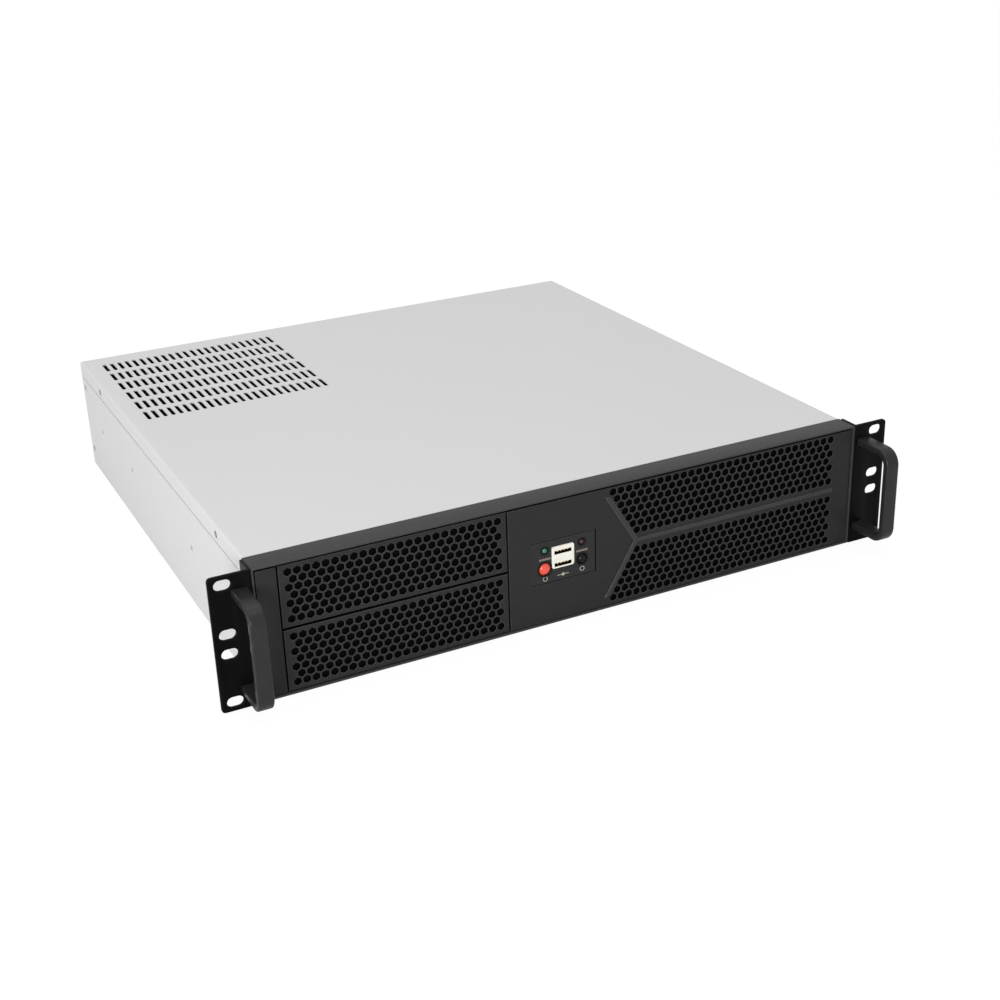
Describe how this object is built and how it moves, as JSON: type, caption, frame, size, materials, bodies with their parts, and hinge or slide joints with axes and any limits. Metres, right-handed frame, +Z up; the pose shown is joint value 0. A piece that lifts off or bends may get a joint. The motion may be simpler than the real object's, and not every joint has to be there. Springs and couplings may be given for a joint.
{
  "type": "empty rackmount server case",
  "caption": "Flat wide steel server case for a 19-inch rack: light grey body, black front with honeycomb grilles, side ears and pull handles, vented lid.",
  "frame": {"origin": "middle of the rack slot pattern, in the front face of the two ears", "axes": "+X to the right seen from the front, +Y from the front towards the rear wall, +Z up"},
  "size_m": [0.4826, 0.462, 0.0882],
  "materials": {
    "body_grey": "light grey powder coat, fine satin texture",
    "black_steel": "black powder coat",
    "black_plastic": "matte moulded, fine grain",
    "dark_plastic": "smooth moulded",
    "black_bar": "satin black bar",
    "red_plastic": "glossy red cap",
    "green_lens": "tinted lens, unlit",
    "red_lens": "tinted lens, unlit",
    "socket_plastic": "cream moulded socket",
    "board_green": "solder mask",
    "plated_steel": "zinc-plated sheet",
    "filter_foam": "open-cell black foam",
    "brass": "turned brass"
  },
  "bodies": {
    "case": {"chassis_tray": "body_grey", "rear_panel": "body_grey", "top_cover": "body_grey", "front_panel": "black_steel", "front_fascia": "black_plastic", "upper_bay_cover": "black_plastic", "lower_bay_cover": "black_plastic", "control_plate": "black_plastic", "control_board": "board_green", "power_lamp": "green_lens", "drive_lamp": "red_lens", "usb_sockets": "socket_plastic", "left_ear": "black_steel", "right_ear": "black_steel", "left_handle": "black_bar", "right_handle": "black_bar", "card_shelf": "body_grey", "card_covers": "plated_steel", "bay_cage": "plated_steel", "drive_bracket": "plated_steel", "psu_bracket": "plated_steel", "fan_frame": "dark_plastic", "board_standoffs": "brass", "dust_filters": "filter_foam"},
    "power_button": {"power_button": "red_plastic"},
    "reset_button": {"reset_button": "dark_plastic"},
    "fan_rotor": {"fan_rotor": "dark_plastic"}
  },
  "joints": [
    {"name": "power_button_press", "type": "slide", "parent": "case", "child": "power_button", "axis": [0, 1, 0], "range_m": [0, 0.0008], "stiffness_N_per_m": 400, "springref_m": -0.0005},
    {"name": "reset_button_press", "type": "slide", "parent": "case", "child": "reset_button", "axis": [0, 1, 0], "range_m": [0, 0.0008], "stiffness_N_per_m": 400, "springref_m": -0.0005},
    {"name": "fan_spin", "type": "hinge", "parent": "case", "child": "fan_rotor", "pos_m": [0.114, 0.03, 0], "axis": [0, 1, 0], "continuous": true}
  ]
}
